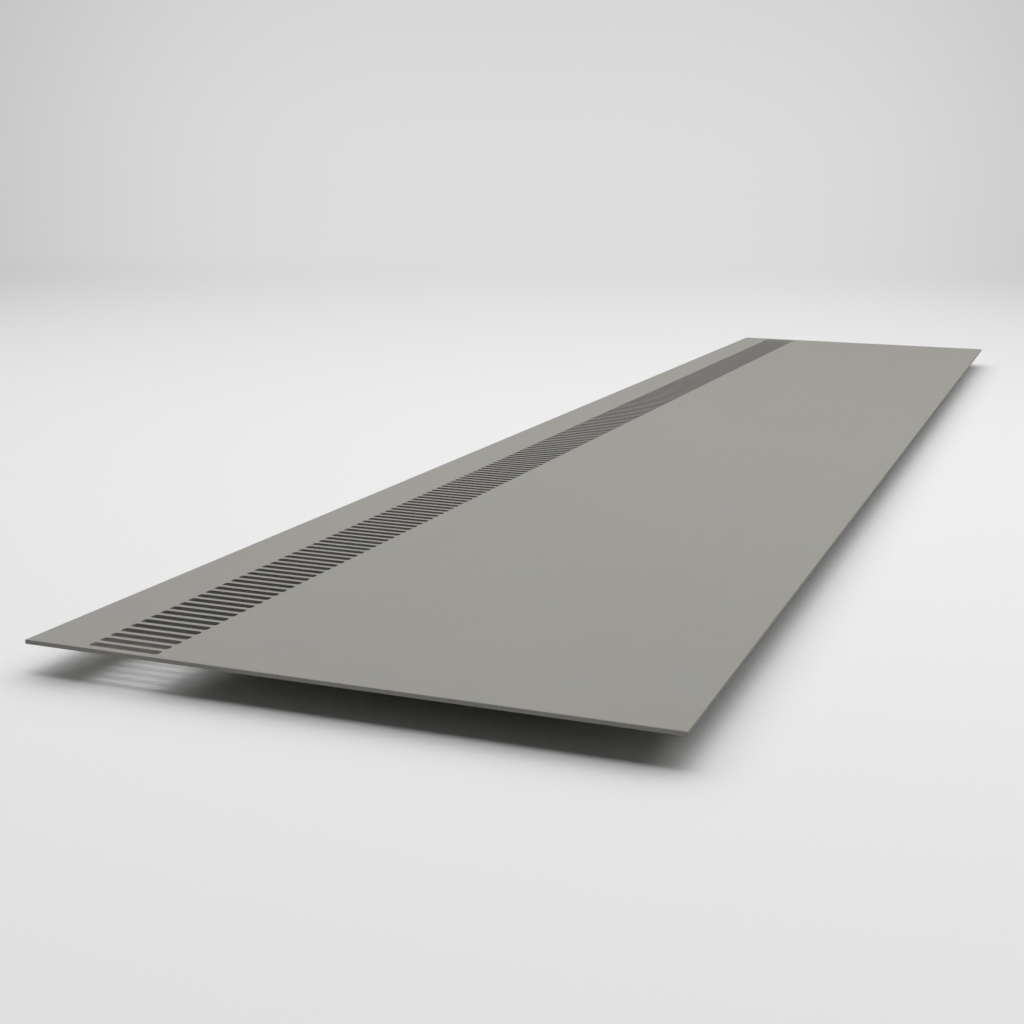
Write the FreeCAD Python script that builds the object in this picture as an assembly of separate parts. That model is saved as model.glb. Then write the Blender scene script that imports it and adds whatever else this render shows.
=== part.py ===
"""Vented soffit board: one flat fibre-cement sheet with a strip of slots beside one long edge.

Units are millimetres. +Y runs along the board from the end where the slots start, +X runs across it
away from the slotted edge, and +Z is up, out of the finished face. The origin is the centre of the
back face, which lies on z = 0.
"""

import FreeCAD, Part

import os
from math import cos, pi, sin

# The sheet as it is trimmed at the works.
board_length = 3000.0
board_width = 600.0
board_thickness = 4.0

# One slot. It lies across the board and goes right through it.
slot_length = 70.0
slot_width = 10.0
slot_corner_radius = 2.5
corner_flats = 2  # each rounded corner is worked as this many short flats

# The strip that the slots make, from one end of the board to the other.
slot_pitch = 16.0
edge_margin = 60.0  # plain board between the long edge and the ends of the slots
end_margin = 8.0  # plain board before the first slot, and the least after the last one

# Places that follow from the sizes above.
slotted_edge_x = -board_width / 2
start_end_y = -board_length / 2
strip_centre_x = slotted_edge_x + edge_margin + slot_length / 2
first_slot_y = start_end_y + end_margin + slot_width / 2
room_for_pitches = board_length - 2 * end_margin - slot_width
slot_count = 1 + int(room_for_pitches // slot_pitch)


def sheet_outline():
    """The four edges of the sheet, on the back face."""
    low_corner = FreeCAD.Vector(slotted_edge_x, start_end_y, 0)
    return Part.makePlane(board_width, board_length, low_corner).OuterWire


def slot_outline(centre_y):
    """The closed outline of the slot at centre_y, on the back face.

    A corner's points lie on a quarter circle of slot_corner_radius about the corner's own centre,
    and the straight sides join one corner to the next.
    """
    reach_x = slot_length / 2 - slot_corner_radius
    reach_y = slot_width / 2 - slot_corner_radius
    points = []
    for quarter, (side_x, side_y) in enumerate([(1, 1), (-1, 1), (-1, -1), (1, -1)]):
        corner_x = strip_centre_x + side_x * reach_x
        corner_y = centre_y + side_y * reach_y
        for flat in range(corner_flats + 1):
            turn = (quarter + flat / corner_flats) * pi / 2
            x = corner_x + slot_corner_radius * cos(turn)
            y = corner_y + slot_corner_radius * sin(turn)
            points.append(FreeCAD.Vector(x, y, 0))
    return Part.makePolygon(points + points[:1])


def soffit_board():
    """The pierced outline of the sheet, raised to the board's thickness."""
    slots = [slot_outline(first_slot_y + slot_pitch * n) for n in range(slot_count)]
    holes = [slot.reversed() for slot in slots]  # a hole runs the other way round than the rim
    pierced_face = Part.Face([sheet_outline()] + holes)
    return pierced_face.extrude(FreeCAD.Vector(0, 0, board_thickness))


board = soffit_board()
print(f"{slot_count} slots, {board.Volume / 1e3:.1f} cm3, valid: {board.isValid()}")
os.makedirs("parts", exist_ok=True)
board.exportStep("parts/soffit_board.step")
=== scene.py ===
from math import cos, pi, radians, sin

import bpy
import numpy as np
from mathutils import Matrix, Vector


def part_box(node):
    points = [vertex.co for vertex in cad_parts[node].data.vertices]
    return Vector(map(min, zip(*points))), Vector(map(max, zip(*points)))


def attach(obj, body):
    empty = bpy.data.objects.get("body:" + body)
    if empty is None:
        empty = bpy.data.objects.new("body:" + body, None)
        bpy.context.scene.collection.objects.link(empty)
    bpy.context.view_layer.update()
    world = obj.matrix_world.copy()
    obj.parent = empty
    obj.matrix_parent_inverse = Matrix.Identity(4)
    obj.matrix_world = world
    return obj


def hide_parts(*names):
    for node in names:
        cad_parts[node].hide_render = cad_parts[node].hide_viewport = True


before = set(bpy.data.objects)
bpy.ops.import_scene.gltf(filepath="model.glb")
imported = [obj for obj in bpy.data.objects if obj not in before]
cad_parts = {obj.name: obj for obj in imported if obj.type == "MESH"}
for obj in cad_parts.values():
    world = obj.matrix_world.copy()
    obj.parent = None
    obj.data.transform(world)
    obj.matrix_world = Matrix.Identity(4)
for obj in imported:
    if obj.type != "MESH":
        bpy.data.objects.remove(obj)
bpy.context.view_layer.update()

# The view. The camera stands beyond the end where the slots start and outside the plain long edge, about
# 400 mm above the board. It looks along the board and down on it.
camera_place = (0.5581, -2.5850, 0.4089)
camera_turn_left = radians(20.326)
camera_tilt_down = radians(12.140)
camera_roll = radians(0.894)
focal_length_mm = 54.64
film_width_mm = 36.0

camera_data = bpy.data.cameras.new("camera")
camera_data.lens = focal_length_mm
camera_data.sensor_width = film_width_mm
camera = bpy.data.objects.new("camera", camera_data)
camera.matrix_world = (
    Matrix.Translation(camera_place)
    @ Matrix.Rotation(camera_turn_left, 4, "Z")
    @ Matrix.Rotation(pi / 2 - camera_tilt_down, 4, "X")
    @ Matrix.Rotation(camera_roll, 4, "Z")
)
bpy.context.collection.objects.link(camera)
bpy.context.scene.camera = camera
bpy.context.scene.view_settings.view_transform = "Standard"

# The board. It is one flat sheet of fibre cement, pressed from thin films of cellulose fibres and cement
# and trimmed to size. The slots are cut right through it, one after another beside a long edge. The saw
# and the cutter leave the rims just eased, and lay bare the darker core.
slot_length = 0.070
slot_width = 0.010
slot_corner_radius = 0.0025
slot_pitch = 0.016
edge_margin = 0.060
end_margin = 0.008
corner_steps = 2
edge_ease = 0.0004
rim_ease = 0.0002
border = 0.005  # plain board beyond the ends of the slots that is meshed along with them

sheet_low, sheet_high = (np.array(corner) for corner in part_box("soffit_board"))
board_width, board_length, board_thickness = sheet_high - sheet_low
strip_x = sheet_low[0] + edge_margin + np.array([-border, slot_length + border])
slot_count = 1 + int((board_length - 2 * end_margin - slot_width) / slot_pitch + 1e-6)
first_slot_y = sheet_low[1] + end_margin + slot_width / 2
slot_y = first_slot_y + slot_pitch * np.arange(slot_count)
tile_y = first_slot_y + slot_pitch * (np.arange(slot_count + 1) - 0.5)


def grid_faces(rows, columns, closed=False):
    """The quads of a grid of points that are numbered row by row, as an array (quads, 4).

    Point (row, column) is joined to (row, column + 1), (row + 1, column + 1) and (row + 1, column).
    On a closed grid the last column is joined to the first.
    """
    row, column = np.mgrid[: rows - 1, : columns - (not closed)]
    after = (column + 1) % columns
    corners = [row * columns + column, row * columns + after]
    corners += [(row + 1) * columns + after, (row + 1) * columns + column]
    return np.stack(corners, -1).reshape(-1, 4)


def slot_tiles():
    """Every slot with the tile of board round it, as points (n, 3) and quads.

    A slot's outline is four quarter circles, each corner + radius * (cos turn, sin turn), joined by
    straight sides. It is carried along a profile: from the tile's corners to the rim on the face, over
    the eased rim, down the wall, and along the back to the tile's corners. The tile is repeated at each
    slot's place.
    """
    quarter = np.arange(4)[:, None]
    turn = (quarter + np.linspace(0, 1, corner_steps + 1)) * pi / 2
    outwards = np.stack([np.cos(turn), np.sin(turn)], -1)
    side = np.sign(outwards.mean(axis=1, keepdims=True))
    corner_reach = np.array([slot_length, slot_width]) / 2 - slot_corner_radius
    wall = side * corner_reach + slot_corner_radius * outwards
    rim = wall + rim_ease * outwards
    tile = side * np.array([np.ptp(strip_x), slot_pitch]) / 2 + 0 * wall
    top = board_thickness
    profile = [(tile, top), (rim, top), (wall, top - rim_ease), (wall, 0), (tile, 0)]
    rings = [np.insert(outline.reshape(-1, 2), 2, height, axis=1) for outline, height in profile]
    places = np.stack([np.full(slot_count, strip_x.mean()), slot_y, np.zeros(slot_count)], -1)
    points = places[:, None] + np.concatenate(rings)
    quads = grid_faces(len(rings), len(rings[0]), closed=True)
    quads = quads + np.arange(slot_count)[:, None, None] * points.shape[1]
    return points.reshape(-1, 3), quads.reshape(-1, 4)


def plain_board():
    """The board round the slots' tiles, as points (n, 3) and quads.

    Face and back are the same grid of x and y at two heights, without the tiles. The four edges are the
    grid's border, carried down through four heights, and it is set in by edge_ease at the first and the
    last.
    """
    x = np.concatenate([sheet_low[:1], strip_x, sheet_high[:1]])
    y = np.concatenate([sheet_low[1:2], tile_y, sheet_high[1:2]])
    inset_x = np.clip(x, x[0] + edge_ease, x[-1] - edge_ease)
    inset_y = np.clip(y, y[0] + edge_ease, y[-1] - edge_ease)
    top = board_thickness
    levels = [(inset_x, inset_y, top), (x, y, top - edge_ease), (x, y, edge_ease), (inset_x, inset_y, 0)]
    grids = [
        np.stack(np.broadcast_arrays(across[None], along[:, None], height), -1)
        for across, along, height in levels
    ]
    size = len(x) * len(y)
    number = np.arange(size).reshape(len(y), len(x))
    face = grid_faces(len(y), len(x))
    row, column = np.divmod(face[:, 0], len(x))
    face = face[(column != 1) | (row == 0) | (row == len(y) - 2)]
    around = np.concatenate([number[0, :-1], number[:-1, -1], number[-1, :0:-1], number[:0:-1, 0]])
    rings = (around + np.arange(len(levels))[:, None] * size).reshape(-1)
    edges = rings[grid_faces(len(levels), len(around), closed=True)][:, ::-1]
    back = face[:, ::-1] + (len(levels) - 1) * size
    return np.stack(grids).reshape(-1, 3), np.concatenate([face, edges, back])


def joined_mesh(name, *surfaces):
    """One mesh of several surfaces. Points that coincide are merged, so the surfaces close on each other,
    and a quad two of whose corners coincide becomes a triangle."""
    starts = np.cumsum([0] + [len(points) for points, _ in surfaces])
    points = np.concatenate([points for points, _ in surfaces])
    faces = np.concatenate([quads + start for (_, quads), start in zip(surfaces, starts)])
    _, first, merged = np.unique(np.round(points, 6), axis=0, return_index=True, return_inverse=True)
    faces = merged.reshape(-1)[faces]
    kept = faces != np.roll(faces, 1, axis=1)
    kept[kept.sum(axis=1) < 3] = False
    sides = kept.sum(axis=1)
    sides = sides[sides > 0]
    mesh = bpy.data.meshes.new(name)
    mesh.vertices.add(len(first))
    mesh.vertices.foreach_set("co", points[first].reshape(-1))
    mesh.loops.add(sides.sum())
    mesh.loops.foreach_set("vertex_index", faces[kept])
    mesh.polygons.add(len(sides))
    mesh.polygons.foreach_set("loop_start", np.cumsum(sides) - sides)
    mesh.update(calc_edges=True)
    mesh.shade_flat()
    return mesh


class Wire:
    """A socket that a shader node gives. Arithmetic on it adds the Math nodes that work it out."""

    def __init__(self, tree, socket=None):
        self.tree = tree
        self.socket = socket

    def node(self, kind, sockets=(), gives=0, **settings):
        """Adds a node, sets it, then gives its sockets values or links by name or number.

        It returns one of the node's outputs.
        """
        node = self.tree.nodes.new("ShaderNode" + kind)
        for name, value in settings.items():
            setattr(node, name, value)
        for name, value in dict(sockets).items():
            if isinstance(value, Wire):
                self.tree.links.new(value.socket, node.inputs[name])
            else:
                node.inputs[name].default_value = value
        return Wire(self.tree, node.outputs[gives] if len(node.outputs) else None)

    def maths(self, operation, *values):
        return self.node("Math", enumerate(values), operation=operation)

    def __add__(self, other):
        return self.maths("ADD", self, other)

    def __sub__(self, other):
        return self.maths("SUBTRACT", self, other)

    def __rsub__(self, other):
        return self.maths("SUBTRACT", other, self)

    def __mul__(self, other):
        return self.maths("MULTIPLY", self, other)

    __radd__ = __add__
    __rmul__ = __mul__

    def rise(self, low, high):
        """0 where this is at low, 1 where it is at high, and a smooth step between them."""
        sockets = {"Value": self, "From Min": low, "From Max": high}
        return self.node("MapRange", sockets, interpolation_type="SMOOTHSTEP")

    def stretched(self, *per_metre):
        """A place scaled by so many cycles a metre along X, Y and Z."""
        return self.node("VectorMath", {0: self, 1: per_metre}, operation="MULTIPLY")

    def cloud(self, detail=2.0):
        """Soft noise about 0, mostly within 0.5 either way, one cycle for each unit of this place."""
        sockets = {"Vector": self, "Scale": 1.0, "Detail": detail}
        return 2 * self.node("TexNoise", sockets) - 1

    def cells(self, gives):
        """Scattered points, one for each unit of this place: how far the nearest is, or its random tone."""
        return self.node("TexVoronoi", {"Vector": self, "Scale": 1.0}, gives)

    def blend(self, colour, other):
        """A colour where this is 0 and another where it is 1."""
        return self.node("Mix", {0: self, 6: colour, 7: other}, gives=2, data_type="RGBA")

    def shaded(self, tone):
        """This colour made lighter or darker by a tone about 1."""
        return self.node("VectorMath", {0: self, "Scale": tone}, operation="SCALE")


def new_material(name):
    """An empty material, and a wire that adds nodes to it."""
    material = bpy.data.materials.new(name)
    material.use_nodes = True
    material.node_tree.nodes.clear()
    return material, Wire(material.node_tree)


def fibre_cement():
    """Bare fibre cement: a matt warm grey skin with faint clouds, a fine grain, drawn lines and hair-like
    fibres that lie along the board, and a felt's print on the back. Where it is cut it shows a darker,
    layered and pitted core, and the pits are darkened as painted shade. In the slots the core is painted
    darker still, as painted shade, except in the first few slots from an end, which are left lighter as
    painted light from the floor below."""
    warm_skin = (0.343, 0.327, 0.301, 1.0)
    cool_skin = (0.332, 0.327, 0.306, 1.0)
    trimmed_core = (0.312, 0.303, 0.279, 1.0)
    # Painted shade: the slots' walls get a darker core colour than the trimmed edges.
    slot_core_painted_shade = (0.210, 0.204, 0.188, 1.0)
    skin_depth = 0.0002
    trim_depth = 0.0010
    # Painted light from the floor: slots this near an end keep the trimmed edges' lighter colour.
    painted_bounce_reach = 0.090

    material, start = new_material("fibre_cement")
    place = start.node("TexCoord", gives="Object")
    across, along, height = (start.node("SeparateXYZ", {0: place}, gives=axis) for axis in "XYZ")
    cut = height.rise(0, skin_depth) * height.rise(board_thickness, board_thickness - skin_depth)
    half_width, half_length = board_width / 2, board_length / 2
    # The slots' painted shade goes where both masks are 1: away from the long edges and beyond the painted
    # light near each end.
    inside_x = start.maths("ABSOLUTE", across).rise(half_width - trim_depth / 2, half_width - trim_depth)
    inside_y = start.maths("ABSOLUTE", along).rise(half_length - end_margin, half_length - painted_bounce_reach)
    core = (inside_x * inside_y).blend(trimmed_core, slot_core_painted_shade)
    back = height.rise(board_thickness / 2, 0) * (1 - cut)

    clouds = place.stretched(5, 3, 5).cloud(detail=3.0)
    bloom = place.stretched(38, 16, 38).cloud(detail=4.0)
    grain = place.stretched(900, 700, 900).cloud(detail=2.0)
    drawn_lines = place.stretched(420, 1.5, 420).cloud(detail=1.0)
    warmth = (0.5 + place.stretched(17, 11, 17).cloud(detail=1.0)).rise(0.1, 0.9)

    hairs = place.stretched(900, 130, 900)
    hair = hairs.cells("Distance").rise(0.30, 0.12) * hairs.cells("Color").rise(0.62, 0.72)
    motes = place.stretched(190, 190, 190)
    mote = motes.cells("Distance").rise(0.10, 0.05) * motes.cells("Color").rise(0.50, 0.70)

    felt = place.stretched(700, 520, 1).node("TexMagic", {"Scale": 1.0, "Distortion": 1.5}, gives="Fac")
    films = place.stretched(6, 6, 2600).cloud(detail=1.0)
    pit = place.stretched(650, 650, 900).cloud(detail=3.0).rise(0.10, 0.45)

    skin_tone = 1 + 0.020 * clouds + 0.022 * bloom + 0.030 * grain + 0.010 * drawn_lines
    skin_tone = skin_tone + 0.05 * hair - 0.16 * mote - 0.05 * back * felt
    # The pits are also darkened in the core's tone: painted shade in their hollows.
    core_tone = 1 + 0.16 * films + 0.10 * grain - 0.28 * pit
    tone = skin_tone * (1 - cut) + core_tone * cut
    colour = cut.blend(warmth.blend(cool_skin, warm_skin), core).shaded(tone)
    roughness = 0.90 + 0.05 * bloom + 0.03 * grain + 0.04 * cut

    skin_relief = 12e-6 * grain + 14e-6 * bloom + 5e-6 * drawn_lines + 10e-6 * hair + 30e-6 * back * felt
    core_relief = 50e-6 * films + 30e-6 * grain - 90e-6 * pit
    relief = skin_relief * (1 - cut) + core_relief * cut
    bump = start.node("Bump", {"Height": relief, "Strength": 1.0, "Distance": 1.0})
    sockets = {"Base Color": colour, "Roughness": roughness, "Normal": bump, "Specular IOR Level": 0.12}
    shader = start.node("BsdfPrincipled", sockets)
    start.node("OutputMaterial", {"Surface": shader})
    return material


board = bpy.data.objects.new("vented_board", joined_mesh("vented_board", slot_tiles(), plain_board()))
board.data.materials.append(fibre_cement())
bpy.context.collection.objects.link(board)
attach(board, "root")
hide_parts("soffit_board")

# The room. The board is shown a little above a pale floor, which runs on until it can't be told from the
# wall. The wall is painted light, not a surface: the far floor and the world glow with it for the camera
# and reflections only, lightest about where the camera looks and darker to both sides. below_camera is a
# fixed spot on the floor, and the join of floor and wall is made to be seen from above it.
gap_at_near_end = 0.031
gap_at_far_end = 0.037
floor_reach = 60.0
floor_tone = 0.86
bounce_tone = 0.66
side_tone = 0.545
glow_tone = 0.175
glow_turn_left = radians(19.5)
glow_spread = radians(23)
below_camera = (0.56, -2.59, 0.0)
wall_starts = 3.0
wall_alone = 9.4
sooner_to_right = 2.0
sooner_behind = 4.0


def flat_floor():
    """One large quad. It falls evenly along Y: at the board's near end it is gap_at_near_end below the
    back, and at the far end gap_at_far_end."""
    fall = (gap_at_far_end - gap_at_near_end) / board_length
    corners = floor_reach * np.array([[-1, -1, 0], [1, -1, 0], [1, 1, 0], [-1, 1, 0]], float)
    corners[:, 2] = -gap_at_near_end - fall * (corners[:, 1] - sheet_low[1])
    return corners, np.arange(4)[None]


def seen_directly(start):
    """1 for the camera and for reflections, 0 for light that bounces from one surface to another."""
    camera_ray, glossy_ray, clear_ray = (
        start.node("LightPath", gives=f"Is {kind} Ray") for kind in ("Camera", "Glossy", "Transmission")
    )
    return start.maths("MINIMUM", camera_ray + glossy_ray + clear_ray, 1.0)


def painted_wall_light(direction):
    """The wall's painted light in a direction: side_tone, and glow_tone more towards glow_turn_left from
    +Y.
    """
    level = direction.node("VectorMath", {0: direction.stretched(1, 1, 0)}, operation="NORMALIZE")
    glow_way = (-sin(glow_turn_left), cos(glow_turn_left), 0)
    towards = level.node("VectorMath", {0: level, 1: glow_way}, gives="Value", operation="DOT_PRODUCT")
    return side_tone + glow_tone * towards.rise(cos(glow_spread), 1)


def floor_paint():
    """A pale matt floor. Farther from the spot below the camera it glows with the wall's painted light
    instead, for the camera and reflections only, so that no line parts the two in that view. Behind the
    spot and to the right of it, where the ceiling ends, this comes sooner. The spot doesn't follow the
    camera."""
    material, start = new_material("floor_paint")
    seen = seen_directly(start)
    matt = start.node("BsdfDiffuse", {"Color": bounce_tone + (floor_tone - bounce_tone) * seen})
    place = start.node("TexCoord", gives="Object")
    away = start.node("VectorMath", {0: place, 1: below_camera}, operation="SUBTRACT")
    to_right, ahead = (start.node("SeparateXYZ", {0: away}, gives=axis) for axis in "XY")
    distance = start.node("VectorMath", {0: away}, gives="Value", operation="LENGTH")
    distance = distance + sooner_to_right * start.maths("MAXIMUM", to_right, 0.0)
    distance = distance + sooner_behind * start.maths("MAXIMUM", 0 - ahead, 0.0)
    wall = start.node("Emission", {"Color": painted_wall_light(away)})
    mixed = start.node("MixShader", {0: seen * distance.rise(wall_starts, wall_alone), 1: matt, 2: wall})
    start.node("OutputMaterial", {"Surface": mixed})
    material.cycles.emission_sampling = "NONE"
    return material


floor = bpy.data.objects.new("floor", joined_mesh("floor", flat_floor()))
floor.data.materials.append(floor_paint())
bpy.context.collection.objects.link(floor)

# The light. A wide ceiling of soft light hangs over the board. Two smaller lamps hang below it: one over
# the board's middle and one, brighter, beyond the end where the slots start. The rest of the room is dim,
# and the wall is a little dimmer upwards.
dim_room = 0.08
wall_dims_upwards = 0.10
wall_dims_by_slope = 0.2
lamps = {
    "ceiling": ((-0.1, 2.4, 3.00), (8.8, 10.3), 1.13),
    "middle_lamp": ((0.1, -0.4, 1.80), (1.0, 1.6), 0.50),
    "end_lamp": ((0.5, -2.3, 2.98), (2.0, 1.0), 2.80),
}
for name, (place, size, brightness) in lamps.items():
    lamp_data = bpy.data.lights.new(name, "AREA")
    lamp_data.shape = "RECTANGLE"
    lamp_data.size, lamp_data.size_y = size
    lamp_data.energy = brightness * pi * size[0] * size[1]
    lamp = bpy.data.objects.new(name, lamp_data)
    lamp.location = place
    lamp.visible_camera = False
    bpy.context.collection.objects.link(lamp)

world = bpy.data.worlds.new("world")
world.use_nodes = True
world.node_tree.nodes.clear()
sky = Wire(world.node_tree)
direction = sky.node("TexCoord", gives="Generated")
above = sky.node("SeparateXYZ", {0: direction}, gives="Z").rise(0, wall_dims_by_slope)
seen = seen_directly(sky)
# The camera and reflections see the wall's painted light, a little dimmer upwards. Light that bounces sees
# only dim_room.
sky_tone = painted_wall_light(direction) * (1 - wall_dims_upwards * above) * seen + (1 - seen) * dim_room
sky.node("OutputWorld", {"Surface": sky.node("Background", {"Color": sky_tone})})
bpy.context.scene.world = world
